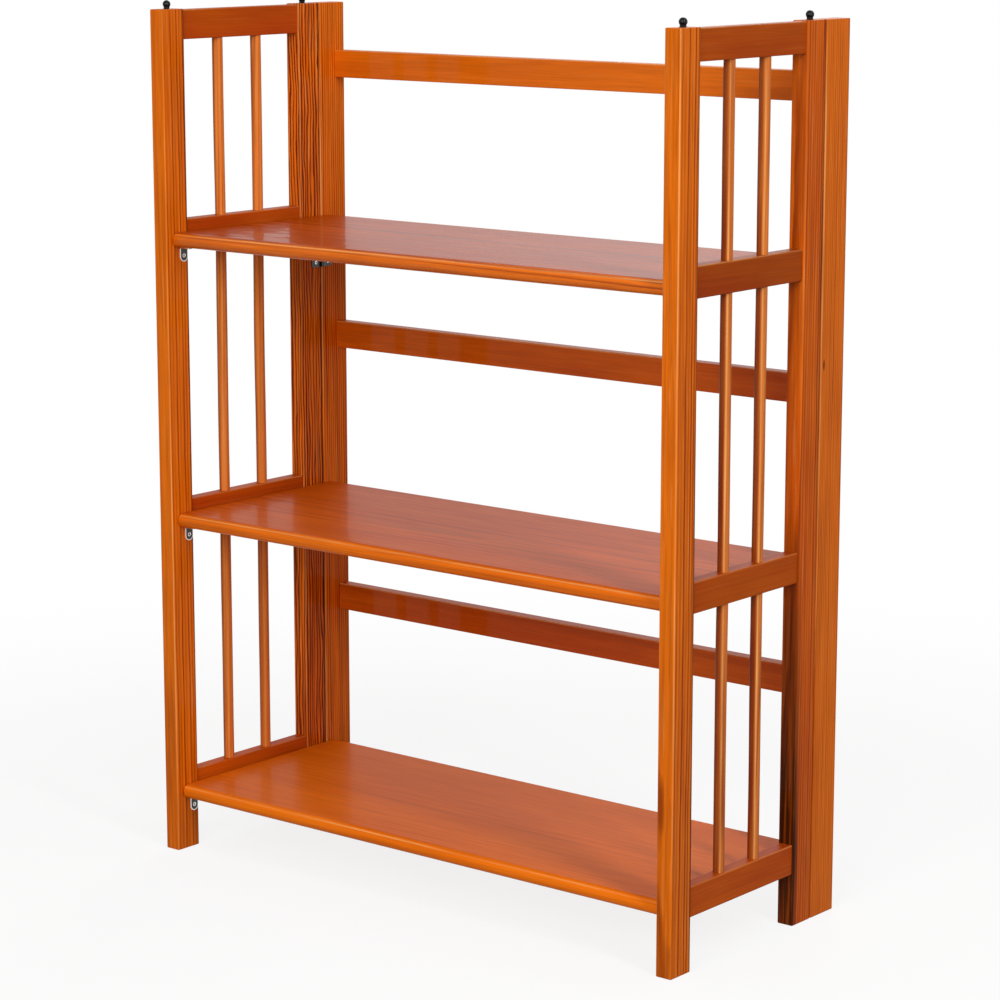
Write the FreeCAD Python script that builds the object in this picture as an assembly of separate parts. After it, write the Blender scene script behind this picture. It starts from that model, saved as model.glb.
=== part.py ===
"""Folding bookcase: two ladder-like side frames, a back frame and three shelves.

Frame: origin on the floor under the middle of the bookcase, +Z up, +X to the
right and +Y to the rear, so the open front faces -Y. Millimetres throughout.

How it works: each shelf turns about two steel pins in the back stiles. Down,
its front corners rest on small angle brackets on the front posts. Up, it
stands in the recess in front of the back rails. Each side frame hangs on two
butt hinges and swings in, flat across the raised shelves, to pack away.
The right-hand side is modelled, and the left-hand side is its mirror image.
"""
import FreeCAD, Part
import math
import os

# ---- Driving dimensions ------------------------------------------------------

# overall; the height follows, because a raised shelf has to fit below the next one
WIDTH = 706.0
DEPTH = 292.0
LOWEST_SHELF = 75.0        # floor to the lowest shelf's surface
TOP_BAY = 241.0            # highest shelf's surface to the post tops
RAISED_SHELF_ROOM = 10.0   # raised shelf's edge to the hinge above it

# posts and stiles
POST_THICK = 19.0          # across the bookcase; the back stiles share it
POST_DEPTH = 33.0          # front to back
STILE_DEPTH = 42.0
HINGE_GAP = 1.5            # between a rear post and its stile
ARRIS = 1.2                # chamfer that eases the long edges
END_CHAMFER = 1.0          # round the tops and the feet

# rails
RAIL_THICK = 15.0
RAIL_HEIGHT = 32.0
RAIL_ARRIS = 0.9
TOP_RAIL_DROP = 1.0        # top rail below the post tops
RAIL_ABOVE_SHELF = 13.0    # side rail's top edge above the shelf's surface
BACK_RAIL_HEIGHT = 31.0
BACK_RAIL_ABOVE_SHELF = 187.0
BACK_RAIL_INSET = 1.0      # back rail's rear face inside the stiles'

# stub tenons on the rails' ends, centred in the rail
TENON_THICK = 8.0
TENON_HEIGHT = 22.0
TENON_LENGTH = 11.0

# spindles: each stands in the lowest rail and passes through the middle ones
SPINDLES = 2               # in each side frame, evenly spaced
SPINDLE_RADIUS = 6.0
SPINDLE_IN_RAIL = 10.0     # in the lowest and the top rail

# shelves
SHELF_THICK = 16.0
SHELF_SETBACK = 8.0        # shelf's front edge behind the posts' front
SHELF_END_GAP = 1.0

# pins that the shelves turn on
PIVOT_BEHIND_STILE = 9.0   # behind the stiles' front faces
PIVOT_RADIUS = 3.0
PIVOT_IN_STILE = 11.0
PIVOT_IN_SHELF = 18.0
PIVOT_CLEARANCE = 0.08

# stacking pins in the post tops, and the sockets in the post feet
STACK_SHANK_RADIUS = 3.6
STACK_SHANK_LENGTH = 18.0
STACK_NECK_HEIGHT = 4.1
STACK_HEAD_RADIUS = 4.3
STACK_BAND_HEIGHT = 2.0
STACK_CROWN_HEIGHT = 3.4
STACK_CROWN_RADIUS = 2.2   # of the flat on its top
SOCKET_CLEARANCE = 0.45
SOCKET_DEPTH = 12.0

# angle brackets under the front corners of the shelves
BRACKET_THICK = 1.5
BRACKET_WIDTH = 12.0
BRACKET_LEG = 16.5
BRACKET_FLANGE = 14.0
BRACKET_BEND = 1.0         # inside radius
BRACKET_FROM_REAR = 8.0    # bracket's middle in front of the post's rear face
REST_GAP = 0.3             # shelf above its brackets

# butt hinges, just under a shelf
HINGE_LEVELS = ["lower", "upper"]
HINGE_HEIGHT = 38.0
HINGE_BELOW_SHELF = 5.0
LEAF_WIDTH = 17.0          # pin's axis to the leaf's free edge
LEAF_THICK = 1.2
BARREL_RADIUS = 2.5
HINGE_PIN_RADIUS = 1.25
HINGE_PIN_CLEARANCE = 0.05
KNUCKLES = 3
KNUCKLE_GAP = 0.3

GLUE_GAP = 0.1             # round tenons, spindles and shanks
BORE_END_GAP = 0.5         # between a pin's or tenon's end and the wood

# ---- Sizes that follow -------------------------------------------------------

V = FreeCAD.Vector
X, Y, Z = V(1, 0, 0), V(0, 1, 0), V(0, 0, 1)

X_OUTER = WIDTH / 2
X_INNER = X_OUTER - POST_THICK
X_MIDDLE = X_OUTER - POST_THICK / 2

Y_FRONT = -DEPTH / 2
Y_BACK = DEPTH / 2
Y_STILE = Y_BACK - STILE_DEPTH
Y_SIDE_BACK = Y_STILE - HINGE_GAP
Y_HINGE = Y_STILE - HINGE_GAP / 2
Y_PIVOT = Y_STILE + PIVOT_BEHIND_STILE
FRONT_POST = (Y_FRONT, Y_FRONT + POST_DEPTH)
REAR_POST = (Y_SIDE_BACK - POST_DEPTH, Y_SIDE_BACK)
SIDE_OPENING = REAR_POST[0] - FRONT_POST[1]

SHELF_RADIUS = SHELF_THICK / 2
SHELF_HALF_LENGTH = X_INNER - SHELF_END_GAP
SHELF_FRONT = Y_FRONT + SHELF_SETBACK
SHELF_REACH = Y_PIVOT - SHELF_FRONT
RAISED_SHELF = SHELF_RADIUS + SHELF_REACH
SHELF_PITCH = RAISED_SHELF + RAISED_SHELF_ROOM + HINGE_HEIGHT + HINGE_BELOW_SHELF
SHELF_TOPS = {
    "lower": LOWEST_SHELF,
    "middle": LOWEST_SHELF + SHELF_PITCH,
    "upper": LOWEST_SHELF + 2 * SHELF_PITCH,
}
LEVELS = list(SHELF_TOPS)
HEIGHT = SHELF_TOPS["upper"] + TOP_BAY

RAIL_TOPS = {level: top + RAIL_ABOVE_SHELF for level, top in SHELF_TOPS.items()}
RAIL_TOPS["top"] = HEIGHT - TOP_RAIL_DROP
SPINDLE_FOOT = RAIL_TOPS["lower"] - SPINDLE_IN_RAIL
SPINDLE_HEAD = RAIL_TOPS["top"] - RAIL_HEIGHT + SPINDLE_IN_RAIL
SPINDLE_Y = [FRONT_POST[1] + SIDE_OPENING * (i + 1) / (SPINDLES + 1) for i in range(SPINDLES)]

BACK_RAIL_TOPS = {level: top + BACK_RAIL_ABOVE_SHELF for level, top in SHELF_TOPS.items()}
BACK_RAIL_Y = (Y_BACK - BACK_RAIL_INSET - RAIL_THICK, Y_BACK - BACK_RAIL_INSET)
BACK_RAIL_MIDDLE = sum(BACK_RAIL_Y) / 2

X_HINGE = X_INNER - BARREL_RADIUS
BRACKET_Y = FRONT_POST[1] - BRACKET_FROM_REAR
SOCKET_RADIUS = STACK_HEAD_RADIUS + SOCKET_CLEARANCE


def shelf_underside(level):
    return SHELF_TOPS[level] - SHELF_THICK


def bracket_top(level):
    return shelf_underside(level) - REST_GAP


def hinge_base(level):
    return shelf_underside(level) - HINGE_BELOW_SHELF - HINGE_HEIGHT


# ---- Shapes that several pieces use ------------------------------------------


def box(x, y, z):
    """A box from its (low, high) pairs along X, Y and Z."""
    return Part.makeBox(x[1] - x[0], y[1] - y[0], z[1] - z[0], V(x[0], y[0], z[0]))


def rod(start, direction, radius, length):
    return Part.makeCylinder(radius, length, start, direction)


def straight(outline):
    """The edges from each point of an outline to the next."""
    return [Part.makeLine(a, b) for a, b in zip(outline, outline[1:])]


def arc(start, through, end):
    return Part.Arc(start, through, end).toShape()


def along(edge, direction):
    """True for a straight edge that runs along direction."""
    if not isinstance(edge.Curve, Part.Line):
        return False
    run = edge.Vertexes[1].Point.sub(edge.Vertexes[0].Point).normalize()
    return abs(run.dot(direction)) > 0.999


def eased_bar(x, y, z, grain, arris):
    """A wooden bar whose long edges are eased by a chamfer; its grain runs along them."""
    shape = box(x, y, z)
    return shape.makeChamfer(arris, [edge for edge in shape.Edges if along(edge, grain)])


def end_chamfered(shape, grain, size):
    """A small chamfer round both flat ends of a bar or board."""
    ends = [face for face in shape.Faces if abs(face.normalAt(0, 0).dot(grain)) > 0.999]
    return shape.makeChamfer(size, [edge for face in ends for edge in face.Edges])


def mirrored(shape):
    """The same piece on the other side of the bookcase."""
    return shape.mirror(V(0, 0, 0), X)


# ---- Rails, their tenons and the mortises for them ---------------------------


def tenon(face, way, across, top, height, room=0.0):
    """A stub tenon, or with room round it the mortise that takes it.

    It starts on the upright's face and runs along way, X, Y or -Y. across is
    the middle of the rail's thickness, and top and height are the rail's own.
    """
    middle = top - height / 2
    length = TENON_LENGTH + (BORE_END_GAP if room else 0)
    reach = tuple(sorted((face, face + length * (way.x + way.y))))
    thick = (across - TENON_THICK / 2 - room, across + TENON_THICK / 2 + room)
    tall = (middle - TENON_HEIGHT / 2 - room, middle + TENON_HEIGHT / 2 + room)
    return box(reach, thick, tall) if way.x else box(thick, reach, tall)


def side_tenons(front, room=0.0):
    """The tenons at one end of the side rails, in order of RAIL_TOPS."""
    face, way = (FRONT_POST[1], Y * -1) if front else (REAR_POST[0], Y)
    return {
        name: tenon(face, way, X_MIDDLE, top, RAIL_HEIGHT, room)
        for name, top in RAIL_TOPS.items()
    }


def back_tenons(room=0.0):
    """The tenons at the right-hand ends of the back rails."""
    return {
        level: tenon(X_INNER, X, BACK_RAIL_MIDDLE, top, BACK_RAIL_HEIGHT, room)
        for level, top in BACK_RAIL_TOPS.items()
    }


def side_rail(name):
    """A rail between the posts, bored for the spindles that stand in it or pass through."""
    top = RAIL_TOPS[name]
    foot = top - RAIL_HEIGHT
    x = (X_MIDDLE - RAIL_THICK / 2, X_MIDDLE + RAIL_THICK / 2)
    blank = eased_bar(x, (FRONT_POST[1], REAR_POST[0]), (foot, top), Y, RAIL_ARRIS)
    low = SPINDLE_FOOT - BORE_END_GAP if name == "lower" else foot
    high = SPINDLE_HEAD + BORE_END_GAP if name == "top" else top
    bores = [
        rod(V(X_MIDDLE, y, low), Z, SPINDLE_RADIUS + GLUE_GAP, high - low) for y in SPINDLE_Y
    ]
    return blank.fuse([side_tenons(True)[name], side_tenons(False)[name]]).cut(bores)


def spindle(y):
    return rod(V(X_MIDDLE, y, SPINDLE_FOOT), Z, SPINDLE_RADIUS, SPINDLE_HEAD - SPINDLE_FOOT)


def back_rail(level):
    top = BACK_RAIL_TOPS[level]
    blank = eased_bar(
        (-X_INNER, X_INNER), BACK_RAIL_Y, (top - BACK_RAIL_HEIGHT, top), X, RAIL_ARRIS
    )
    right = back_tenons()[level]
    return blank.fuse([right, mirrored(right)])


# ---- Posts, stiles and stacking pins -----------------------------------------


def post(y):
    """A side frame's post: a socket in its foot, a pin's bore in its top, and mortises."""
    blank = eased_bar((X_INNER, X_OUTER), y, (0, HEIGHT), Z, ARRIS)
    middle = V(X_MIDDLE, sum(y) / 2, 0)
    socket = rod(middle, Z, SOCKET_RADIUS, SOCKET_DEPTH)
    shank = rod(
        middle + Z * HEIGHT,
        Z * -1,
        STACK_SHANK_RADIUS + GLUE_GAP,
        STACK_SHANK_LENGTH + BORE_END_GAP,
    )
    mortises = side_tenons(y == FRONT_POST, GLUE_GAP)
    return end_chamfered(blank, Z, END_CHAMFER).cut([socket, shank, *mortises.values()])


def back_stile():
    """A back stile: mortises for the back rails and bores for the shelves' pins."""
    blank = eased_bar((X_INNER, X_OUTER), (Y_STILE, Y_BACK), (0, HEIGHT), Z, ARRIS)
    pivots = [
        rod(
            V(X_INNER, Y_PIVOT, top - SHELF_RADIUS),
            X,
            PIVOT_RADIUS + PIVOT_CLEARANCE,
            PIVOT_IN_STILE + BORE_END_GAP,
        )
        for top in SHELF_TOPS.values()
    ]
    return end_chamfered(blank, Z, END_CHAMFER).cut(pivots + list(back_tenons(GLUE_GAP).values()))


def stacking_pin(y):
    """A round-headed pin: a shank, a step out to the head's band, and a cone in to the crown."""
    shoulder = STACK_NECK_HEIGHT + STACK_BAND_HEIGHT
    crown = shoulder + STACK_CROWN_HEIGHT
    outline = [
        V(0, 0, -STACK_SHANK_LENGTH),
        V(STACK_SHANK_RADIUS, 0, -STACK_SHANK_LENGTH),
        V(STACK_SHANK_RADIUS, 0, STACK_NECK_HEIGHT),
        V(STACK_HEAD_RADIUS, 0, STACK_NECK_HEIGHT),
        V(STACK_HEAD_RADIUS, 0, shoulder),
        V(STACK_CROWN_RADIUS, 0, crown),
        V(0, 0, crown),
    ]
    profile = Part.Wire(straight(outline + outline[:1]))
    shape = Part.Face(profile).revolve(V(0, 0, 0), Z, 360)
    shape.translate(V(X_MIDDLE, y, HEIGHT))
    return shape


# ---- Shelves -----------------------------------------------------------------


def shelf(level):
    """A board with full-round front and rear edges; the rear one is centred on the pins."""
    middle = SHELF_TOPS[level] - SHELF_RADIUS
    low, high = middle - SHELF_RADIUS, middle + SHELF_RADIUS
    front = SHELF_FRONT + SHELF_RADIUS

    def p(y, z):
        return V(-SHELF_HALF_LENGTH, y, z)

    outline = Part.Wire(
        [
            Part.makeLine(p(front, low), p(Y_PIVOT, low)),
            arc(p(Y_PIVOT, low), p(Y_PIVOT + SHELF_RADIUS, middle), p(Y_PIVOT, high)),
            Part.makeLine(p(Y_PIVOT, high), p(front, high)),
            arc(p(front, high), p(SHELF_FRONT, middle), p(front, low)),
        ]
    )
    board = Part.Face(outline).extrude(X * (2 * SHELF_HALF_LENGTH))
    end = V(SHELF_HALF_LENGTH, Y_PIVOT, middle)
    bore = rod(end, X * -1, PIVOT_RADIUS + PIVOT_CLEARANCE, PIVOT_IN_SHELF + BORE_END_GAP)
    return board.cut([bore, mirrored(bore)])


def shelf_pin(level):
    start = V(SHELF_HALF_LENGTH - PIVOT_IN_SHELF, Y_PIVOT, SHELF_TOPS[level] - SHELF_RADIUS)
    return rod(start, X, PIVOT_RADIUS, PIVOT_IN_SHELF + SHELF_END_GAP + PIVOT_IN_STILE)


# ---- Shelf brackets ----------------------------------------------------------


def bracket(level):
    """A bent steel angle: a round-ended leg down the post and a flange under the shelf."""
    top = bracket_top(level)
    foot, tip = top - BRACKET_LEG, X_INNER - BRACKET_FLANGE
    bend_out = BRACKET_BEND + BRACKET_THICK
    cx, cz = X_INNER - bend_out, top - bend_out
    half = BRACKET_WIDTH / 2
    slope = math.sqrt(0.5)

    def p(x, z):
        return V(x, BRACKET_Y - half, z)

    def bend(radius, start, end):
        return arc(start, p(cx + radius * slope, cz + radius * slope), end)

    inner = X_INNER - BRACKET_THICK
    under = top - BRACKET_THICK
    strip = Part.Wire(
        straight([p(inner, cz), p(inner, foot), p(X_INNER, foot), p(X_INNER, cz)])
        + [bend(bend_out, p(X_INNER, cz), p(cx, top))]
        + straight([p(cx, top), p(tip, top), p(tip, under), p(cx, under)])
        + [bend(BRACKET_BEND, p(cx, under), p(inner, cz))]
    )
    plate = Part.Face(strip).extrude(Y * BRACKET_WIDTH)
    waste = box((inner, X_INNER), (BRACKET_Y - half, BRACKET_Y + half), (foot, foot + half))
    round_end = rod(V(inner, BRACKET_Y, foot + half), X, half, BRACKET_THICK)
    return plate.cut(waste.cut(round_end))


# ---- Butt hinges -------------------------------------------------------------


def knuckle_spans(level, rear):
    """(low, high) of one leaf's knuckles: every second share of the hinge's height."""
    base, share = hinge_base(level), HINGE_HEIGHT / KNUCKLES
    first = 1 if rear else 0
    return [(base + i * share, base + (i + 1) * share) for i in range(first, KNUCKLES, 2)]


def hinge_leaf(level, rear):
    """One leaf: a plate on the inner face, its knuckles, and room for the other leaf's."""
    base, top = hinge_base(level), hinge_base(level) + HINGE_HEIGHT
    free_edge = Y_HINGE + (LEAF_WIDTH if rear else -LEAF_WIDTH)
    plate_x = (X_INNER - LEAF_THICK, X_INNER)
    plate = box(plate_x, tuple(sorted((Y_HINGE, free_edge))), (base, top))
    reach = BARREL_RADIUS + KNUCKLE_GAP
    room_y = (Y_HINGE - reach, Y_HINGE + reach)
    room = [
        box(plate_x, room_y, (low - KNUCKLE_GAP / 2, high + KNUCKLE_GAP / 2))
        for low, high in knuckle_spans(level, not rear)
    ]
    barrel = [
        rod(V(X_HINGE, Y_HINGE, low + KNUCKLE_GAP / 2), Z, BARREL_RADIUS, high - low - KNUCKLE_GAP)
        for low, high in knuckle_spans(level, rear)
    ]
    bore = rod(V(X_HINGE, Y_HINGE, base), Z, HINGE_PIN_RADIUS + HINGE_PIN_CLEARANCE, top - base)
    return plate.cut(room).fuse(barrel).cut(bore)


def hinge_pin(level):
    return rod(V(X_HINGE, Y_HINGE, hinge_base(level)), Z, HINGE_PIN_RADIUS, HINGE_HEIGHT)


# ---- The assembly ------------------------------------------------------------


def side_pieces():
    """Every right-hand piece, by name."""
    pieces = {
        "back_stile": back_stile(),
        "front_post": post(FRONT_POST),
        "rear_post": post(REAR_POST),
        "front_stacking_pin": stacking_pin(sum(FRONT_POST) / 2),
        "rear_stacking_pin": stacking_pin(sum(REAR_POST) / 2),
    }
    for name in RAIL_TOPS:
        pieces[f"{name}_rail"] = side_rail(name)
    for number, y in enumerate(SPINDLE_Y, 1):
        pieces[f"spindle_{number}"] = spindle(y)
    for level in LEVELS:
        pieces[f"{level}_bracket"] = bracket(level)
    for level in HINGE_LEVELS:
        pieces[f"{level}_hinge_post_leaf"] = hinge_leaf(level, rear=False)
        pieces[f"{level}_hinge_stile_leaf"] = hinge_leaf(level, rear=True)
        pieces[f"{level}_hinge_pin"] = hinge_pin(level)
    return pieces


def shared_pieces():
    """The pieces that span the bookcase, and each shelf's pair of pins."""
    pieces = {}
    for level in LEVELS:
        pin = shelf_pin(level)
        pieces[f"{level}_shelf"] = shelf(level)
        pieces[f"{level}_shelf_pins"] = Part.makeCompound([mirrored(pin), pin])
        pieces[f"{level}_back_rail"] = back_rail(level)
    return pieces


def main():
    os.makedirs("parts", exist_ok=True)
    nodes = shared_pieces()
    for name, shape in side_pieces().items():
        nodes[f"right_{name}"] = shape
        nodes[f"left_{name}"] = mirrored(shape)
    for name, shape in nodes.items():
        shape.exportStep(f"parts/{name}.step")
    print(f"{len(nodes)} nodes, {WIDTH:g} x {DEPTH:g} x {HEIGHT:g} mm to the post tops")


main()
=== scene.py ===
"""Looks of a folding bookcase, built as surfaces around its fixed frame.

Lengths are metres, +Z is up, +X is to the right and the open front faces -Y.
Every piece is a closed skin over rings of points: a profile carried along its
grain, its bend or round its axis, or circles up that axis. All finishes are
procedural and read Object coordinates.
"""

import math
from dataclasses import dataclass

import bpy
import numpy as np
from bpy.props import FloatProperty, FloatVectorProperty, IntProperty, PointerProperty
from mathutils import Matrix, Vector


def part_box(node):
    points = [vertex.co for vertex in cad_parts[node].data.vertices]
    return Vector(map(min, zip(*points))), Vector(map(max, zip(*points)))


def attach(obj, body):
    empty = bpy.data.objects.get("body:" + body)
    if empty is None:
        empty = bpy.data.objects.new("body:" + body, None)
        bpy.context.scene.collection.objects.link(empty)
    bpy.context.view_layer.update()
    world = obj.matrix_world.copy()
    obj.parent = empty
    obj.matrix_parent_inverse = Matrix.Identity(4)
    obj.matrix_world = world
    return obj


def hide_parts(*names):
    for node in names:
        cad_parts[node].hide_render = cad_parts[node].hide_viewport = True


bl_info = {
    "name": "Folding Bookcase",
    "version": (1, 0, 0),
    "blender": (4, 5, 0),
    "location": "3D View > Sidebar > Bookcase",
    "description": "Builds the visible pieces of a folding bookcase around its frame",
    "category": "Object",
}

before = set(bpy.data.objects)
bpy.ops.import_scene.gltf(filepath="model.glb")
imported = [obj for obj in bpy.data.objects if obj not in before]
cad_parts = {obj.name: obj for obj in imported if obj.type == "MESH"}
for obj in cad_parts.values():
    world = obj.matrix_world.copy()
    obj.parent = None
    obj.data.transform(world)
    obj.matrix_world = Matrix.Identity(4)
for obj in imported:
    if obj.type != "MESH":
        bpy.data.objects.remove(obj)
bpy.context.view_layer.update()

MM = 0.001
SIDES = {"left": -1, "right": 1}
LEVELS = ("lower", "middle", "upper")
UP = 2    # number of the Z axis
SMOOTH_ANGLE = math.radians(32)


# ---- Settings ------------------------
LENGTH = {"subtype": "DISTANCE", "unit": "LENGTH"}
COLOUR = {"subtype": "COLOR", "size": 3, "min": 0, "max": 1}
POWER = {"subtype": "POWER", "unit": "POWER", "min": 0, "max": 500}


class TimberSettings(bpy.types.PropertyGroup):
    """How the wooden pieces are worked."""

    arris: FloatProperty(
        name="Arris radius", description="Rounding of the long edges of posts and stiles",
        default=1.5 * MM, min=0.2 * MM, max=6 * MM, **LENGTH)
    rail_arris: FloatProperty(
        name="Rail arris radius", description="Rounding of the long edges of the rails",
        default=1.1 * MM, min=0.2 * MM, max=6 * MM, **LENGTH)
    end_round: FloatProperty(
        name="End rounding", description="Rounding round the ends of posts, stiles and shelves",
        default=1.0 * MM, min=0.1 * MM, max=4 * MM, **LENGTH)
    tenon_thick: FloatProperty(
        name="Tenon thickness", description="Thickness of the stub tenons on the rails",
        default=8 * MM, min=2 * MM, max=12 * MM, **LENGTH)
    tenon_height: FloatProperty(
        name="Tenon height", description="Height of the stub tenons on the rails",
        default=22 * MM, min=5 * MM, max=28 * MM, **LENGTH)
    wander: FloatProperty(
        name="Spindle wander", description="How far a spindle's middle strays from a straight line",
        default=0.35 * MM, min=0, max=1 * MM, **LENGTH)
    arc_steps: IntProperty(
        name="Arc steps", description="Segments in each rounded arris", default=6, min=2, max=16)


class WoodSettings(bpy.types.PropertyGroup):
    """The stained and lacquered wood."""

    early: FloatVectorProperty(
        name="Earlywood", description="Colour of the pale part of a growth ring",
        default=(0.76, 0.160, 0.004), **COLOUR)
    late: FloatVectorProperty(
        name="Latewood", description="Colour of the dark part of a growth ring",
        default=(0.20, 0.020, 0.001), **COLOUR)
    deep: FloatVectorProperty(
        name="Deep stain", description="Colour where the stain has soaked in most",
        default=(0.50, 0.058, 0.003), **COLOUR)
    # Pale wood showing through the stain and in the grain's pale lines, and also the colour of the painted
    # highlights on the arrises that face the lamps
    bare: FloatVectorProperty(
        name="Rubbed arris", description="Colour of an arris where the stain is rubbed thin",
        default=(0.90, 0.42, 0.13), **COLOUR)
    # Colour of the painted shade on the arrises that face away from the lamps
    pooled: FloatVectorProperty(
        name="Pooled stain", description="Colour of an arris where the stain has run together",
        default=(0.060, 0.010, 0.001), **COLOUR)
    # Also the colour of the patch of painted shade at the foot of the right rear post
    knot: FloatVectorProperty(
        name="Knot", description="Colour of a knot's heart",
        default=(0.020, 0.005, 0.001), **COLOUR)
    ring_width: FloatProperty(
        name="Ring width", description="Mean width of a growth ring",
        default=5.0 * MM, min=0.5 * MM, max=20 * MM, **LENGTH)
    lacquer_roughness: FloatProperty(
        name="Lacquer roughness", description="Roughness of the lacquer",
        default=0.055, min=0, max=1, subtype="FACTOR")


class MetalSettings(bpy.types.PropertyGroup):
    """The small metal pieces."""

    # Dark as a painted reflection: the polished plate mirroring dark surroundings
    plate: FloatVectorProperty(
        name="Dark plate", description="Colour of brackets, hinges and shelf pins",
        default=(0.040, 0.036, 0.033), **COLOUR)
    # Also the colour of the painted highlight round the brackets' edges
    bright: FloatVectorProperty(
        name="Bright plate", description="Colour of screws, hinge pins and rubbed edges",
        default=(0.88, 0.86, 0.82), **COLOUR)
    black: FloatVectorProperty(
        name="Black enamel", description="Colour of the stacking pins",
        default=(0.002, 0.002, 0.003), **COLOUR)
    screw_radius: FloatProperty(
        name="Screw head radius", description="Radius of the countersunk screw heads",
        default=2.3 * MM, min=1 * MM, max=4 * MM, **LENGTH)
    turn_steps: IntProperty(
        name="Turned steps", description="Segments round each turned piece",
        default=48, min=12, max=96)


class StudioSettings(bpy.types.PropertyGroup):
    """Floor, light and camera."""

    floor: FloatVectorProperty(
        name="Floor", description="Colour of the floor",
        default=(0.94, 0.94, 0.94), **COLOUR)
    ambient: FloatProperty(
        name="Ambient light", description="Strength of the light from all round",
        default=0.36, min=0, max=2)
    key: FloatProperty(
        name="Key light", description="Power of the soft light at the front",
        default=70, **POWER)
    side: FloatProperty(
        name="Side light", description="Power of the soft light at the right",
        default=30, **POWER)
    back: FloatProperty(
        name="Back light", description="Power of the soft light behind, at the left",
        default=30, **POWER)
    camera_place: FloatVectorProperty(
        name="Camera place", description="Where the camera stands",
        default=(2.1286, -2.5998, 1.0775), size=3, subtype="XYZ", unit="LENGTH")
    camera_turn: FloatProperty(
        name="Camera turn", description="How far the view is turned to the left of straight ahead",
        default=math.radians(39.11), subtype="ANGLE", unit="ROTATION")
    camera_dip: FloatProperty(
        name="Camera dip", description="How far the view points below the horizon",
        default=math.radians(11.03), subtype="ANGLE", unit="ROTATION")
    camera_lens: FloatProperty(
        name="Camera lens", description="Focal length in millimetres, on a 36 mm sensor",
        default=114.66, min=10, max=400)


class BookcaseSettings(bpy.types.PropertyGroup):
    """All settings of the bookcase."""

    timber: PointerProperty(name="Timber", description="Worked sizes", type=TimberSettings)
    wood: PointerProperty(name="Wood", description="Wood finish", type=WoodSettings)
    metal: PointerProperty(name="Metal", description="Metal finish", type=MetalSettings)
    studio: PointerProperty(name="Studio", description="Floor, light, camera", type=StudioSettings)


# ---- Surfaces ------------------------
SUPPORT = 0.3 * MM    # flat margin beside each rounded edge, which keeps the faces flat in the light
POLE = 0.02           # angle from its pole at which a rounded tip's last ring lies


def axes_from(grain):
    """Numbers of the grain's axis and of the two that follow it, in X, Y, Z order."""
    axis = "XYZ".index(grain)
    return axis, (axis + 1) % 3, (axis + 2) % 3


def circle(angle):
    """Points (..., 2) at these angles on a circle of radius 1: cosine and sine."""
    return np.stack([np.cos(angle), np.sin(angle)], -1)


def once_round(steps):
    """Evenly spaced angles of one full turn."""
    return np.linspace(0, 2 * math.pi, steps, endpoint=False)


def arcs(centre, radius, turn):
    """Points (n, 2) of an outline of arcs (k, m) that straight sides join.

    A point is its arc's centre plus radius times (cos, sin) of the turn. Two more points
    lie SUPPORT before and after each arc, on the straight sides.
    """
    arc = centre + radius * circle(turn)
    ahead = np.stack([-np.sin(turn), np.cos(turn)], -1)
    before = arc[:, :1] - SUPPORT * ahead[:, :1]
    after = arc[:, -1:] + SUPPORT * ahead[:, -1:]
    return np.concatenate([before, arc, after], axis=1).reshape(-1, 2)


def rounded_rectangle(half_u, half_v, radius, steps):
    """Points (n, 2) round a rectangle whose corners are quarter circles."""
    quarter = np.linspace(0, math.pi / 2, steps + 1)
    turn = quarter + np.arange(4)[:, None] * math.pi / 2
    sign = np.array([(1, 1), (-1, 1), (-1, -1), (1, -1)])[:, None, :]
    return arcs(sign * (np.array([half_u, half_v]) - radius), radius, turn)


def stadium(half_u, half_v, inset, steps):
    """Points (n, 2) round two half circles of radius half_v less the inset.

    Their centres lie half_u less half_v from the middle, whatever the inset.
    """
    half_turn = np.linspace(-math.pi / 2, math.pi / 2, steps + 1)
    centre = np.array([(1, 0), (-1, 0)])[:, None, :] * (half_u - half_v)
    return arcs(centre, half_v - inset, np.stack([half_turn, half_turn + math.pi]))


def circle_like(outline, radius):
    """Points (n, 2) on a circle, each in the direction of the outline's own point."""
    return radius * circle(np.arctan2(outline[:, 1], outline[:, 0]))


def end_rounding(radius, steps):
    """(inset, run) of a quarter-round end: inset = r (1 - sin t), run = r (1 - cos t)."""
    t = np.linspace(0, math.pi / 2, steps + 1)
    run = np.append(radius * (1 - np.cos(t)), radius + SUPPORT)
    inset = np.append(radius * (1 - np.sin(t)), 0.0)
    return inset, run


def carried(outlines, places, grain, centre):
    """Rings (m, n, 3): flat outlines (m, n, 2) set at places (m) along the grain axis.

    The outline's u and v are the two axes that follow the grain axis in X, Y, Z order.
    """
    axis, first, second = axes_from(grain)
    rings = np.empty(outlines.shape[:2] + (3,))
    rings[..., axis] = np.asarray(places)[:, None]
    rings[..., first] = outlines[..., 0] + centre[first]
    rings[..., second] = outlines[..., 1] + centre[second]
    return rings


def turned(radii, places, centre, steps):
    """Rings (m, n, 3) of a turned piece: circles of radii (m) at heights (m) up its axis."""
    outlines = np.asarray(radii)[:, None, None] * circle(once_round(steps))[None]
    return carried(outlines, places, "Z", centre)


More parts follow.
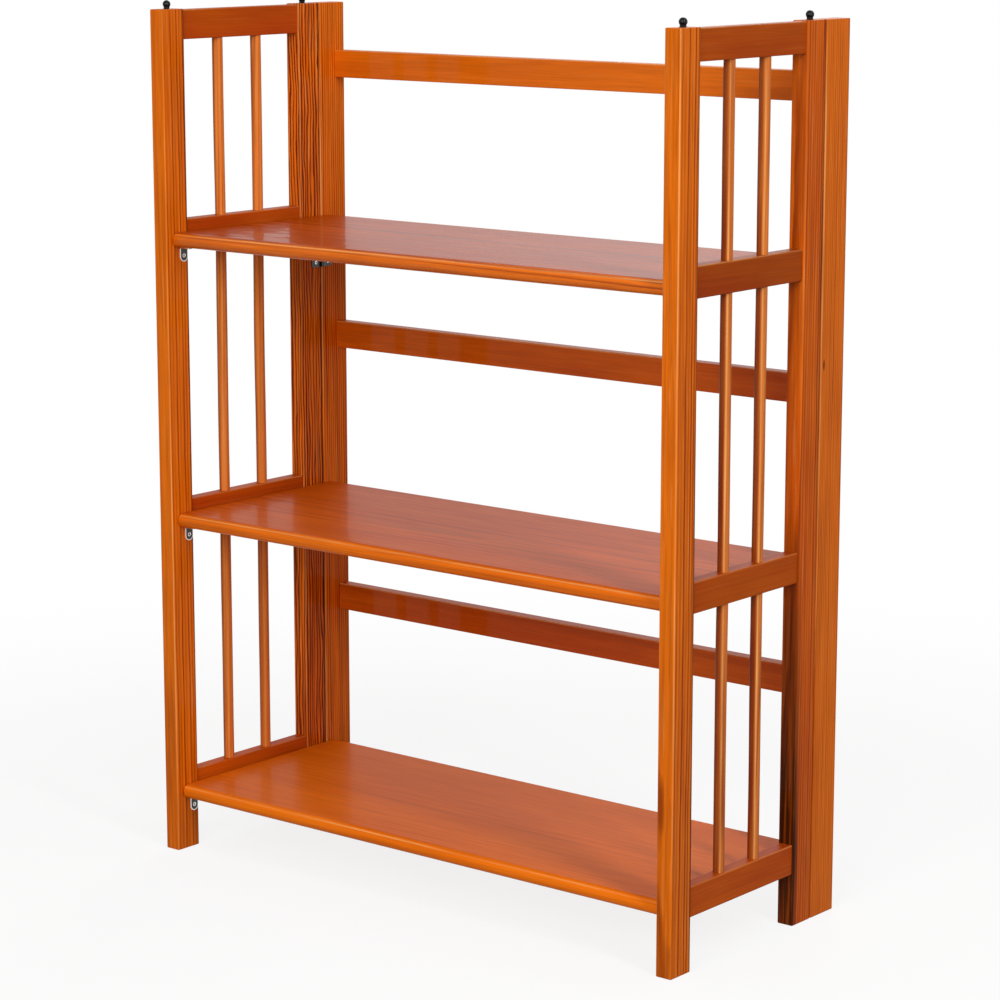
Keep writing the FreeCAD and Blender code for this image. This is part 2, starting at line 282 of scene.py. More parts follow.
def skin(rings, ring_of_rings=False):
    """(points, blocks of faces) of a closed skin over rings (m, n, 3), in quads from ring to ring.

    The two end rings are closed by flat faces, or joined to each other in a ring of rings.
    Every face is turned round if together they point inwards.
    """
    stations, around = rings.shape[:2]
    index = np.arange(stations * around).reshape(stations, around)
    following = np.roll(index, -1, axis=0) if ring_of_rings else index[1:]
    here = index if ring_of_rings else index[:-1]
    quads = np.stack(
        [here, np.roll(here, -1, axis=1), np.roll(following, -1, axis=1), following], -1
    ).reshape(-1, 4)
    blocks = [quads] if ring_of_rings else [quads, index[:1, ::-1], index[-1:]]
    points = rings.reshape(-1, 3)
    corner = points[quads]
    fan = np.cross(corner[:, 1] - corner[:, 0], corner[:, 2] - corner[:, 0])
    fan += np.cross(corner[:, 2] - corner[:, 0], corner[:, 3] - corner[:, 0])
    outward = np.einsum("ij,ij->", corner.mean(1) - points.mean(0), fan)
    return points, blocks if outward > 0 else [block[:, ::-1] for block in blocks]


def placed(name, data):
    """A new object of the scene, at the origin."""
    made = bpy.data.objects.new(name, data)
    bpy.context.scene.collection.objects.link(made)
    return made


def piece(name, skins, material, body, replaced=()):
    """One object from closed skins, which rides on a body and takes a slot's finish."""
    points, faces, first = [], [], 0
    for some_points, blocks in skins:
        points.append(some_points)
        for block in blocks:
            faces += (block + first).tolist()
        first += len(some_points)
    mesh = bpy.data.meshes.new(name)
    mesh.from_pydata(np.concatenate(points).tolist(), [], faces)
    mesh.validate()
    mesh.shade_smooth()
    mesh.set_sharp_from_angle(angle=SMOOTH_ANGLE)
    mesh.materials.append(material)
    made = placed(name, mesh)
    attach(made, body)
    if replaced:
        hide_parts(*replaced)


# ---- Node trees ----------------------

class Tree:
    """Short calls for building the node tree of a material or a world."""

    def __init__(self, owner, empty=False):
        self.owner = owner
        owner.use_nodes = True
        self.nodes = owner.node_tree.nodes
        self.links = owner.node_tree.links
        if empty:
            self.nodes.clear()

    def set(self, socket, value):
        """Links an output socket to an input, or sets the input to a plain value."""
        if isinstance(value, bpy.types.NodeSocket):
            self.links.new(value, socket)
        else:
            socket.default_value = value

    def node(self, kind, inputs=None, **settings):
        made = self.nodes.new(kind)
        for key, value in settings.items():
            setattr(made, key, value)
        for key, value in (inputs or {}).items():
            self.set(made.inputs[key], value)
        return made

    def math(self, operation, *values):
        return self.node("ShaderNodeMath", dict(enumerate(values)), operation=operation).outputs[0]

    def times(self, one, other):
        return self.math("MULTIPLY", one, other)

    def plus(self, one, other):
        return self.math("ADD", one, other)

    def less(self, one, other):
        return self.math("SUBTRACT", one, other)

    def where(self):
        """The point of the surface, in Object coordinates."""
        return self.node("ShaderNodeTexCoord").outputs["Object"]

    def vector(self, x, y, z):
        return self.node("ShaderNodeCombineXYZ", {"X": x, "Y": y, "Z": z}).outputs[0]

    def parts(self, vector):
        return self.node("ShaderNodeSeparateXYZ", {"Vector": vector}).outputs

    def vectors(self, operation, *vectors):
        return self.node("ShaderNodeVectorMath", dict(enumerate(vectors)), operation=operation).outputs

    def offset(self, vector, place):
        """The vector, measured from a place."""
        return self.vectors("SUBTRACT", vector, place)[0]

    def length(self, vector):
        return self.vectors("LENGTH", vector)["Value"]

    def noise(self, vector, scale, detail=2.0, roughness=0.5):
        inputs = {"Vector": vector, "Scale": scale, "Detail": detail, "Roughness": roughness}
        return self.node("ShaderNodeTexNoise", inputs).outputs["Fac"]

    def swing(self, noise, size):
        """The noise, made to swing between minus and plus size."""
        return self.times(self.less(noise, 0.5), 2 * size)

    def span(self, value, low, high, to_low=0.0, to_high=1.0, how="LINEAR"):
        """value, with low to high spread over to_low to to_high, and held there outside."""
        inputs = {"Value": value, "From Min": low, "From Max": high, "To Min": to_low, "To Max": to_high}
        return self.node("ShaderNodeMapRange", inputs, interpolation_type=how).outputs[0]

    def blend(self, share, one, other, how="MIX"):
        inputs = {0: share, 6: one, 7: other}    # the factor, and the two colours
        return self.node("ShaderNodeMix", inputs, data_type="RGBA", blend_type=how).outputs[2]

    def shaded(self, base, value):
        """The colour multiplied by a grey value."""
        return self.blend(1.0, base, self.vector(value, value, value), "MULTIPLY")

    def bump(self, height, distance):
        inputs = {"Height": height, "Strength": 1.0, "Distance": distance}
        return self.node("ShaderNodeBump", inputs).outputs[0]

    def ramp(self, value, stops):
        """Smooth grey ramp through (place, level) stops."""
        made = self.node("ShaderNodeValToRGB", {"Fac": value})
        made.color_ramp.interpolation = "B_SPLINE"
        elements = made.color_ramp.elements
        while len(elements) < len(stops):
            elements.new(0.5)
        for element, (place, level) in zip(elements, stops):
            element.position = place
            element.color = (level, level, level, 1)
        return made.outputs[0]

    def seen_plainly(self):
        """1 for the rays that should meet plain white: camera, glossy and transmission rays."""
        path = self.node("ShaderNodeLightPath").outputs
        bounced = self.math("MAXIMUM", path["Is Glossy Ray"], path["Is Transmission Ray"])
        return self.math("MAXIMUM", path["Is Camera Ray"], bounced)

    def mixed(self, share, one, other, output):
        """Links the mix of two shaders' outputs to a new output node."""
        mix = self.node("ShaderNodeMixShader", {0: share, 1: one, 2: other})
        self.links.new(mix.outputs[0], self.nodes.new(output).inputs["Surface"])

    def finish(self, **inputs):
        shader = self.nodes["Principled BSDF"]
        for key, value in inputs.items():
            self.set(shader.inputs[key.replace("_", " ")], value)
        return self.owner


def colour(rgb, level=1.0):
    """The colour with its alpha, scaled by a level."""
    return (*(min(1.0, c * level) for c in rgb), 1.0)


# ---- Wood ----------------------------
PITH_DISTANCE = 95 * MM        # from a piece's middle to the heart of its log
APART = (11, 7, 5)             # turns a piece's place into its own stretch of the noise
WARP = 3.2 * MM                # slow swing of the rings along a piece
RIPPLE = 0.45 * MM             # quick swing of the rings
UNEVEN = (0.4, 0.5)            # scale and size of the swing in the rings' widths, in ring widths
HIGHLIGHT_REACH = (1.7 * MM, 0.7 * MM)     # a painted highlight on an arris fades in between these depths from the corner
SHADE_REACH = (2.9 * MM, 1.5 * MM)    # and so does the painted shade on an arris
TOP = (0.3 * MM, 1.2 * MM)     # a shelf's flat top turns into its edge between these depths
LEAST_HIGHLIGHT = 0.10            # least share of the painted highlight, and below of the painted shade, where their patches are faintest
LEAST_SHADE = 0.45
PATCHINESS_LEVELS = (0.36, 0.64)            # noise levels between which the patches of painted highlight and shade grow from that to all
SOAKED = (0.34, 0.66)          # and between which the stain soaks in
LEAST_SOAKED = 0.55            # share of the squared depth that soaks in everywhere
WEAKEST_RING = 0.35            # strength of the faintest growth ring
PATCHES = (0.35, 0.65, 0.5, 1.0)        # noise levels, and the strength of the rings at them
FIBRE_SHADE = (0.3, 0.7, 0.88, 1.10)    # noise levels, and the brightness at them
KNOT_AND_SHADE_RIM = (1.25, 0.7)         # the colour of a knot, and of a patch of painted shade, fades in between these shares of its size
KNOT_AND_SHADE_STREAKS = (0.0, 0.6, 0.7, 1.0)     # levels of the streaks, and the darkness there of knots and of patches of painted shade
ROUGHNESS = (0.3, 1.1, 0.42, 0.30)      # levels of fibres and rings, and the roughness at them
ROUGH_RINGS = 0.5              # share that the rings have in the roughness
RAISED_RINGS = 0.6             # and in the relief
RELIEF = 0.03 * MM
SHEEN = 0.03                   # gloss of the wood under its lacquer
SHEEN_TINT = (1.0, 0.62, 0.30, 1.0)
FINE_WAVE = 0.12               # share of the fine waves in the lacquer
RING_PROFILE = ((0.0, 0.0), (0.42, 0.0), (0.60, 0.40), (0.80, 1.0), (0.92, 1.0), (1.0, 0.0))

# Noise drawn out along the grain: its width as a share of its length, scale, detail, roughness
GRAIN = {
    "warp": (0.10, 22, 2, 0.5),
    "ripple": (0.06, 150, 2, 0.5),
    "wave": (0.26, 55, 2, 0.5),
    "patches": (0.14, 34, 2, 0.5),
    "fibres": (0.012, 1300, 3, 0.6),
    "gleams": (0.025, 430, 2, 0.5),
    "streaks": (0.03, 260, 3, 0.5),
    "flecks": (0.02, 620, 2, 0.5),
    "blotches": (0.22, 13, 3, 0.55),
    "patchiness": (0.25, 14, 3, 0.6),
    "lacquer": (0.5, 36, 1, 0.5),
    "fine_lacquer": (0.3, 110, 1, 0.5),
}
# Fine marks: noise levels between which each grows, its share on plain wood, what figure adds
MARKS = {
    "gleams": (0.56, 0.74, 0.04, 0.12),
    "streaks": (0.42, 0.70, 0.06, 0.22),
    "flecks": (0.60, 0.72, 0.10, 0.20),
}


@dataclass
class Board:
    """How one wooden piece was cut from its log and finished, and where highlight and shade are painted on
    it.
    """

    heart: float = 90          # degrees round the grain, from the piece's middle to the log's heart
    figure: float = 1.0        # how strongly the growth rings show
    width: float = 1.0         # share of the mean ring width
    waver: float = 1.0         # how far the rings wander
    wave: float = 0.0          # size of the short waves in the rings
    runout: tuple = (0, 0, 0)  # tilt of the grain
    tone: float = 1.0          # scales the colour
    late: float = 1.0          # and scales the latewood's again
    pale: float = 0.0          # share of bare wood that shows through the stain
    depth: float = 0.3         # share of deep stain
    shine: float = 0.06        # weight of the lacquer
    ripple: float = 0.0        # height of the waves in the lacquer
    rubbed: float = 0.0        # painted highlight on the arrises that face the way lit, in the pale colour of bare wood
    lit: tuple = (0, -1, 0)    # a 0 takes both sides
    reach: tuple = HIGHLIGHT_REACH         # depths from the corner between which the painted highlight fades in
    pooled: float = 0.0        # painted shade on the arrises that face away from the light
    away: tuple = (0, 1, 0)
    pool: tuple = SHADE_REACH         # depths between which that fades in
    pool_tint: str = "pooled"  # the wood setting whose colour it has
    fade: tuple = ()           # places from the middle, along the grain, between which both grow
    top_tint: tuple = ()       # colour that multiplies a shelf's flat top, which is darker than its rounded edges
    knots: tuple = ()          # (place, size, swell, darkness) of each knot, and of each patch of painted shade


def wood(name, look, grain, box, board):
    """Stained wood cut from a log whose growth rings are cylinders round its heart.

    The rings' phase is the distance from the heart line plus slow and quick noise,
    divided by the ring width. Latewood darkens the end of each ring, stain soaks in
    more in some places than in others, and fine fibres run along the grain.
    """
    tree = Tree(bpy.data.materials.new(name))
    axis, first, second = axes_from(grain)
    low, high = box
    centre, half = (low + high) / 2, (high - low) / 2
    to_heart = np.zeros(3)
    to_heart[[first, second]] = PITH_DISTANCE * circle(math.radians(board.heart))
    own = sum(weight * part for weight, part in zip(APART, centre))
    where = tree.where()
    centred = tree.offset(where, centre)
    log = {"Vector": centred, "Rotation": board.runout, "Location": -to_heart}
    parts = tree.parts(tree.node("ShaderNodeMapping", log).outputs[0])
    across, over = parts[first], parts[second]
    along = tree.plus(parts[axis], own)

    def grained(feature):
        """The feature's noise, drawn out along the grain."""
        share, *noise = GRAIN[feature]
        return tree.noise(tree.vector(across, over, tree.times(along, share)), *noise)

    def marks(feature):
        """Where a fine mark lies, and the share of its colour there."""
        low_level, high_level, plain, figured = MARKS[feature]
        marked = tree.span(grained(feature), low_level, high_level)
        return marked, tree.times(marked, plain + figured * board.figure)

    # Growth rings
    ring_width = look.ring_width * board.width
    radius = tree.math("SQRT", tree.plus(tree.math("POWER", across, 2.0), tree.math("POWER", over, 2.0)))
    uneven = tree.noise(tree.vector(radius, own, 0.0), UNEVEN[0] / ring_width)
    swings = [tree.swing(uneven, UNEVEN[1] * ring_width),
              tree.swing(grained("warp"), WARP * board.waver),
              tree.swing(grained("ripple"), RIPPLE * board.waver)]
    if board.wave:
        swings.append(tree.swing(grained("wave"), board.wave))
    dark_hearts_and_shade = []
    for place, size, swell, darkness in board.knots:
        far = tree.length(tree.vectors("DIVIDE", tree.offset(where, place), size)[0])
        swings.append(tree.math("DIVIDE", swell, tree.plus(1.0, tree.math("POWER", far, 2.0))))
        dark_hearts_and_shade.append(tree.times(tree.span(far, *KNOT_AND_SHADE_RIM), darkness))
    for swing in swings:
        radius = tree.plus(radius, swing)
    rings = tree.math("DIVIDE", radius, ring_width)
    profile = tree.ramp(tree.math("FRACT", rings), RING_PROFILE)
    ring = tree.node("ShaderNodeTexWhiteNoise", {"W": tree.math("FLOOR", rings)},
                     noise_dimensions="1D").outputs["Value"]
    patches = tree.span(grained("patches"), *PATCHES)
    strength = tree.times(tree.span(ring, 0.0, 1.0, WEAKEST_RING, 1.0), patches)
    latewood = tree.times(tree.times(profile, strength), board.figure)

    # Stain and fine marks
    fibres = grained("fibres")
    streaks, streak_share = marks("streaks")
    blotches = tree.span(grained("blotches"), *SOAKED, how="SMOOTHSTEP")
    soaked = tree.span(blotches, 0.0, 1.0, LEAST_SOAKED * board.depth ** 2, board.depth)
    late = colour(look.late, board.tone * board.late)
    early = [board.pale * b + (1 - board.pale) * e for b, e in zip(look.bare, look.early)]
    base = tree.blend(soaked, colour(early, board.tone), colour(look.deep, board.tone))
    base = tree.blend(marks("gleams")[1], base, colour(look.bare, board.tone))
    for share in (latewood, streak_share, marks("flecks")[1]):
        base = tree.blend(share, base, late)
    base = tree.shaded(base, tree.span(fibres, *FIBRE_SHADE))

    # Tops, painted highlight and shade on the arrises, knots and patches of painted shade
    sides = tree.parts(centred)
    if board.top_tint:
        top = tree.span(tree.less(half[UP], sides["Z"]), *TOP, 1.0, 0.0)
        base = tree.blend(top, base, colour(board.top_tint), "MULTIPLY")
    patchy = grained("patchiness")
    # Painted highlight on the arrises that face the lamps, then painted shade on those that face away, both
    # in patches
    for facing, share, depths, tint, least in (
            (board.lit, board.rubbed, board.reach, look.bare, LEAST_HIGHLIGHT),
            (board.away, board.pooled, board.pool, getattr(look, board.pool_tint), LEAST_SHADE)):
        patchiness = tree.span(patchy, *PATCHINESS_LEVELS, least, 1.0)
        if board.fade:
            patchiness = tree.times(patchiness, tree.span(sides[axis], *board.fade))
        near = []
        for k in (first, second):
            side = tree.times(sides[k], facing[k]) if facing[k] else tree.math("ABSOLUTE", sides[k])
            near.append(tree.span(tree.less(half[k], side), *depths))
        base = tree.blend(tree.times(tree.times(*near), tree.times(patchiness, share)), base, colour(tint))
    # Knot hearts, and patches of painted shade, in the knot colour
    for heart in dark_hearts_and_shade:
        heart = tree.times(heart, tree.span(streaks, *KNOT_AND_SHADE_STREAKS))
        base = tree.blend(heart, base, colour(look.knot))

    relief = tree.plus(tree.times(latewood, RAISED_RINGS), fibres)
    rough = tree.span(tree.plus(fibres, tree.times(latewood, ROUGH_RINGS)), *ROUGHNESS)
    if board.ripple:
        waves = tree.plus(grained("lacquer"), tree.times(grained("fine_lacquer"), FINE_WAVE))
        tree.finish(Coat_Normal=tree.bump(waves, board.ripple))
    return tree.finish(
        Base_Color=base, Roughness=rough, Normal=tree.bump(relief, RELIEF),
        Specular_IOR_Level=SHEEN, Specular_Tint=SHEEN_TINT,
        Coat_Weight=board.shine, Coat_Roughness=look.lacquer_roughness)


# ---- Metal ---------------------------
FOOT_HIGHLIGHT = (1.3 * MM, 0.7 * MM)    # a bracket's painted highlight round its edge fades in between these depths
ROLLED = (1, 1, 0.06)              # draws the rolling marks out along Z
MARK_SHARE = 0.5                   # of the rolling marks in the plate's colour
MARK_RELIEF = 0.01 * MM
CLOUD_RELIEF = 0.004 * MM
# Noise: scale and detail
ROLLING = (2600, 2)
CLOUDS = (260, 3)
FINE_CLOUDS = (700, 3)
PEEL = (900, 2)
# Noise levels, and the brightness or the roughness at them
PLATE_SHADE = (0.5, 1.0, 0.55, 1.25)
PLATE_GLOSS = (0.3, 0.7, 0.22, 0.40)
BRIGHT_SHADE = (0.3, 0.7, 0.75, 1.1)
BRIGHT_GLOSS = (0.3, 0.7, 0.16, 0.30)
ENAMEL_GLOSS = (0.3, 0.7, 0.04, 0.12)


def dark_plate(name, settings, foot=None):
    """Nickel plate under a thin clear coat, dark as a painted reflection: fine rolling marks along Z over
    faint clouds.

    foot is the middle and radius of a bracket's round foot. The depth from the bracket's
    outline is that radius less the distance from the foot's middle, or above it from the
    upright line through it, and near the outline a painted highlight brightens the plate.
    """
    tree = Tree(bpy.data.materials.new(name))
    where = tree.where()
    drawn = tree.node("ShaderNodeMapping", {"Vector": where, "Scale": ROLLED}).outputs[0]
    marks = tree.noise(drawn, *ROLLING)
    clouds = tree.noise(where, *CLOUDS)
    grey = tree.span(tree.plus(tree.times(marks, MARK_SHARE), clouds), *PLATE_SHADE)
    base = tree.shaded(colour(settings.plate), grey)
    if foot:
        middle, radius = foot
        place = tree.parts(tree.offset(where, middle))
        below = tree.math("MINIMUM", place["Z"], 0.0)
        far = tree.length(tree.vector(0.0, place["Y"], below))
        base = tree.blend(tree.span(tree.less(radius, far), *FOOT_HIGHLIGHT), base, colour(settings.bright))
    return tree.finish(Base_Color=base, Metallic=1.0, Roughness=tree.span(clouds, *PLATE_GLOSS),
                       Normal=tree.bump(marks, MARK_RELIEF), Coat_Weight=0.5, Coat_Roughness=0.06)


def bright_plate(name, settings):
    """Bright plate of hinge pins and screw heads: fine clouds in colour and gloss."""
    tree = Tree(bpy.data.materials.new(name))
    clouds = tree.noise(tree.where(), *FINE_CLOUDS)
    base = tree.shaded(colour(settings.bright), tree.span(clouds, *BRIGHT_SHADE))
    return tree.finish(Base_Color=base, Metallic=1.0, Normal=tree.bump(clouds, CLOUD_RELIEF),
                       Roughness=tree.span(clouds, *BRIGHT_GLOSS))


def black_enamel(name, settings):
    """Glossy black enamel with the slight orange-peel of dipped paint."""
    tree = Tree(bpy.data.materials.new(name))
    peel = tree.noise(tree.where(), *PEEL)
    base = tree.blend(tree.span(peel, 0.4, 0.7), colour(settings.black), colour(settings.black, 2.2))
    return tree.finish(Base_Color=base, Normal=tree.bump(peel, CLOUD_RELIEF),
                       Roughness=tree.span(peel, *ENAMEL_GLOSS), Specular_IOR_Level=0.2)


def shared(make, settings):
    """A material that several pieces share, made at its first use and named after its maker."""
    return bpy.data.materials.get(make.__name__) or make(make.__name__, settings)


# ---- Wooden pieces -------------------
ARRIS_LOSS = 0.6    # share of an end's inset by which the arris radius shrinks there


def node_box(name):
    """(low, high) corners of a frame node, as arrays."""
    low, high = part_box(name)
    return np.array(low), np.array(high)


def wooden(settings, name, rings, grain, board, body="frame"):
    """A wooden piece over rings, finished as its board says, in place of the frame's node."""
    finish = wood(f"{name}_wood", settings.wood, grain, node_box(name), board)
    piece(f"{name}_timber", [skin(rings)], finish, body, [name])


def bar_rings(box, grain, timber, bores=()):
    """A bar with rounded arrises and ends, whose two ends may hold round bores (radius, depth).

    Near an end the outline shrinks by end_rounding's inset. A bore carries on from the
    flat end as a circle, straight in to its depth, where a flat face closes it.
    """
    low, high = box
    axis, first, second = axes_from(grain)
    half = (high - low) / 2
    inset, run = end_rounding(timber.end_round, timber.arc_steps)
    outlines = [rounded_rectangle(half[first] - i, half[second] - i, timber.arris - i * ARRIS_LOSS,
                                  timber.arc_steps) for i in inset]
    rings = outlines + outlines[::-1]
    places = [*(low[axis] + run), *(high[axis] - run[::-1])]
    if bores:
        foot, head = (circle_like(outlines[0], bore_radius) for bore_radius, _ in bores)
        rings = [foot, foot, *rings, head, head]
        (_, foot_depth), (_, head_depth) = bores
        places = [low[axis] + foot_depth, low[axis], *places, high[axis], high[axis] - head_depth]
    return carried(np.stack(rings), places, grain, (low + high) / 2)


def rail_rings(box, grain, shoulders, timber):
    """A rail with a stub tenon on each end: the outline steps from tenon to rail at a shoulder."""
    low, high = box
    axis, *others = axes_from(grain)
    half = (high - low) / 2
    rail = rounded_rectangle(*half[others], timber.rail_arris, timber.arc_steps)
    sides = [(timber.tenon_height if k == UP else timber.tenon_thick) / 2 for k in others]
    tenon = rounded_rectangle(*sides, SUPPORT, timber.arc_steps)
    near, far = shoulders
    places = [low[axis], near, near, far, far, high[axis]]
    return carried(np.stack([tenon, tenon, rail, rail, tenon, tenon]), places, grain, (low + high) / 2)


class BOOKCASE_OT_posts(bpy.types.Operator):
    """Posts of the side frames, with sockets in their feet and bores in their tops"""

    bl_idname = "bookcase.posts"
    bl_label = "Posts"

    BORES = ((4.75 * MM, 12 * MM), (3.7 * MM, 18.5 * MM))    # foot socket and pin bore: radius, depth
    # Painted highlight on each post's front arrises and painted shade on its rear ones; on the right rear
    # post the painted shade beside the hinge gap fades out downwards
    BOARDS = {
        "left_front": {"heart": 84, "depth": 0.25, "figure": 1.2, "tone": 1.06, "wave": 1.0 * MM,
                       "rubbed": 0.5, "pooled": 0.8},
        "left_rear": {"heart": 38, "depth": 0.4, "figure": 2.8, "width": 0.62, "waver": 1.2,
                      "wave": 3.2 * MM, "tone": 1.28, "late": 0.6, "rubbed": 0.35, "pooled": 0.9},
        "right_front": {"heart": 93, "depth": 0.15, "figure": 1.5, "wave": 1.0 * MM,
                        "rubbed": 0.5, "pooled": 1.0, "pool": (3.4 * MM, 2.0 * MM)},
        "right_rear": {"heart": 80, "depth": 0.6, "figure": 1.5, "width": 0.85,
                       "wave": 0.8 * MM, "rubbed": 0.12, "pooled": 1.0,
                       "pool": (3.6 * MM, 2.2 * MM), "fade": (-0.30, 0.25)},
    }
    STREAKED = "right_rear"                       # the post whose foot has a patch of painted shade on its -Y face
    STREAK_HEIGHT = 100 * MM                      # its middle, above the foot
    STREAK_SIZE = (15 * MM, 8 * MM, 300 * MM)     # half its width, depth and length
    STREAK_DARKNESS = 0.95

    def execute(self, context):
        settings = context.scene.bookcase
        for number, (where, board) in enumerate(self.BOARDS.items()):
            name = f"{where}_post"
            low, high = box = node_box(name)
            middle = ((low[0] + high[0]) / 2, low[1], low[2] + self.STREAK_HEIGHT)
            # Painted shade low on the -Y face, where the post stands in shadow, streaked along the grain
            shade_patch = (middle, self.STREAK_SIZE, 0.0, self.STREAK_DARKNESS)
            rings = bar_rings(box, "Z", settings.timber, self.BORES)
            wooden(settings, name, rings, "Z", Board(
                runout=(0.003 * (number - 1), 0.002, 0),
                knots=(shade_patch,) if where == self.STREAKED else (), **board))
        return {"FINISHED"}


class BOOKCASE_OT_stiles(bpy.types.Operator):
    """The two back stiles, which carry the back rails and the shelves' pins"""

    bl_idname = "bookcase.stiles"
    bl_label = "Back stiles"

    KNOTTED = "right"         # the stile that has a knot
    KNOT_BACK = 5.3 * MM      # behind its front face
    KNOT_HEIGHT = 590 * MM
    KNOT_SIZE = (2.6 * MM, 1.5 * MM, 5.5 * MM)
    KNOT_SWELL = 2.2 * MM     # how far the rings bulge round it
    BOARDS = {
        "left": {"figure": 1.4, "width": 0.7, "wave": 1.8 * MM, "depth": 0.35, "tone": 1.20,
                 "late": 0.7},
        "right": {"figure": 0.95, "width": 0.62, "wave": 1.0 * MM, "depth": 0.25, "pale": 0.02,
                  "fade": (-0.25, 0.25)},
    }

    def execute(self, context):
        settings = context.scene.bookcase
        for side, sign in SIDES.items():
            name = f"{side}_back_stile"
            low, high = box = node_box(name)
            middle = (high[0], low[1] + self.KNOT_BACK, self.KNOT_HEIGHT)
            knot = (middle, self.KNOT_SIZE, self.KNOT_SWELL, 1.0)
            # Painted highlight on each stile's front arrises and painted shade on its rear ones; on the
            # right stile both fade out downwards
            wooden(settings, name, bar_rings(box, "Z", settings.timber), "Z", Board(
                heart=90 + 14 * sign, runout=(0.003 * sign, -0.002, 0), rubbed=0.7, pooled=0.6,
                knots=(knot,) if side == self.KNOTTED else (), **self.BOARDS[side]))
        return {"FINISHED"}


class BOOKCASE_OT_side_rails(bpy.types.Operator):
    """Rails of the side frames, tenoned between the posts"""

    bl_idname = "bookcase.side_rails"
    bl_label = "Side rails"

    TONES = {
        "left": {"lower": 0.92, "middle": 0.88, "upper": 0.82, "top": 0.86},
        "right": {"lower": 0.80, "middle": 0.70, "upper": 0.56, "top": 0.66},
    }

    def execute(self, context):
        settings = context.scene.bookcase
        for side, sign in SIDES.items():
            shoulders = (node_box(f"{side}_front_post")[1][1], node_box(f"{side}_rear_post")[0][1])
            for number, (level, tone) in enumerate(self.TONES[side].items()):
                name = f"{side}_{level}_rail"
                rings = rail_rings(node_box(name), "Y", shoulders, settings.timber)
                # Painted highlight on the arrises along the top
                wooden(settings, name, rings, "Y", Board(
                    heart=170 + 25 * number * sign, figure=0.16, tone=tone, depth=1.0, shine=0.03,
                    rubbed=0.3, lit=(0, 0, 1), runout=(0.01, 0, 0.006 * sign)))
        return {"FINISHED"}


class BOOKCASE_OT_back_rails(bpy.types.Operator):
    """Rails of the back frame, tenoned between the stiles"""

    bl_idname = "bookcase.back_rails"
    bl_label = "Back rails"

    BOARDS = {
        "lower": {"depth": 0.8, "tone": 0.92, "figure": 0.3},
        "middle": {"depth": 0.8, "tone": 0.90, "figure": 0.4},
        "upper": {"depth": 0.25, "tone": 1.0, "figure": 0.35},
    }

    def execute(self, context):
        settings = context.scene.bookcase
        shoulders = (node_box("left_back_stile")[1][0], node_box("right_back_stile")[0][0])
        for number, (level, board) in enumerate(self.BOARDS.items()):
            name = f"{level}_back_rail"
            rings = rail_rings(node_box(name), "X", shoulders, settings.timber)
            # Painted highlight on the front arris along the top
            wooden(settings, name, rings, "X", Board(
                heart=20 - 15 * number, rubbed=0.6, lit=(0, -1, 1), shine=0.15,
                runout=(0, 0.004, 0.006), **board))
        return {"FINISHED"}


class BOOKCASE_OT_spindles(bpy.types.Operator):
    """Round spindles of the side frames, not quite straight or even"""

    bl_idname = "bookcase.spindles"
    bl_label = "Spindles"

    STATIONS = 90
    STEPS = 32
    THINNED = 0.02    # share of the radius
    BOARDS = {        # painted shade darkens the half towards -X and -Y
        "left": {"depth": 0.2, "tone": 1.0, "pale": 0.26, "rubbed": 0.3, "pooled": 0.8,
                 "pool": (8.0 * MM, 4.0 * MM)},
        "right": {"depth": 0.3, "tone": 0.86, "pale": 0.30, "rubbed": 1.0, "pooled": 0.95,
                  "pool": (10.0 * MM, 7.8 * MM)},
    }
    PALE_LINE = (3.0 * MM, 1.7 * MM)    # reach of the painted highlight line down the side towards +X and -Y

    def rings(self, low, high, wander, seed):
        """Circles up a spindle, whose middles and radii wander.

        With w1, w2, w3 and w5 the sines of 1, 2, 3 and 5 turns over the height, each from a
        phase of its own, the middle strays by (w1 + w3 / 2) / 1.5 sideways and by
        (w2 + 0.4 w5) / 1.4 backwards, held at the ends by the root of half a sine.
        The radius is less by THINNED times (0.5 + 0.3 w3 + 0.2 w5).
        """
        height = np.linspace(low[2], high[2], self.STATIONS)
        share = (height - low[2]) / (high[2] - low[2])
        middle, radius = (low + high) / 2, (high[0] - low[0]) / 2
        w1, w2, w3, w5 = (np.sin(2 * math.pi * (k * share + seed * (0.37 + 0.21 * k)))
                          for k in (1, 2, 3, 5))
        hold = wander * np.sin(math.pi * share) ** 0.5
        radii = radius * (1 - self.THINNED * (0.5 + 0.3 * w3 + 0.2 * w5))
        made = turned(radii, height, middle, self.STEPS)
        made[..., 0] += (hold * (w1 + 0.5 * w3) / 1.5)[:, None]
        made[..., 1] += (hold * (w2 + 0.4 * w5) / 1.4)[:, None]
        return made

    def execute(self, context):
        settings = context.scene.bookcase
        names = [(side, number) for side in SIDES for number in (1, 2)]
        for seed, (side, number) in enumerate(names, 1):
            name = f"{side}_spindle_{number}"
            rings = self.rings(*node_box(name), settings.timber.wander, seed)
            # Painted highlight down the side towards +X and -Y, and painted shade in the latewood colour on
            # the half towards -X and -Y
            wooden(settings, name, rings, "Z", Board(
                heart=50 * seed, figure=0.8, width=0.8, shine=0.12,
                lit=(1, -1, 0), reach=self.PALE_LINE, away=(-1, -1, 0), pool_tint="late",
                runout=(0.006, -0.004 * seed, 0), **self.BOARDS[side]))
        return {"FINISHED"}


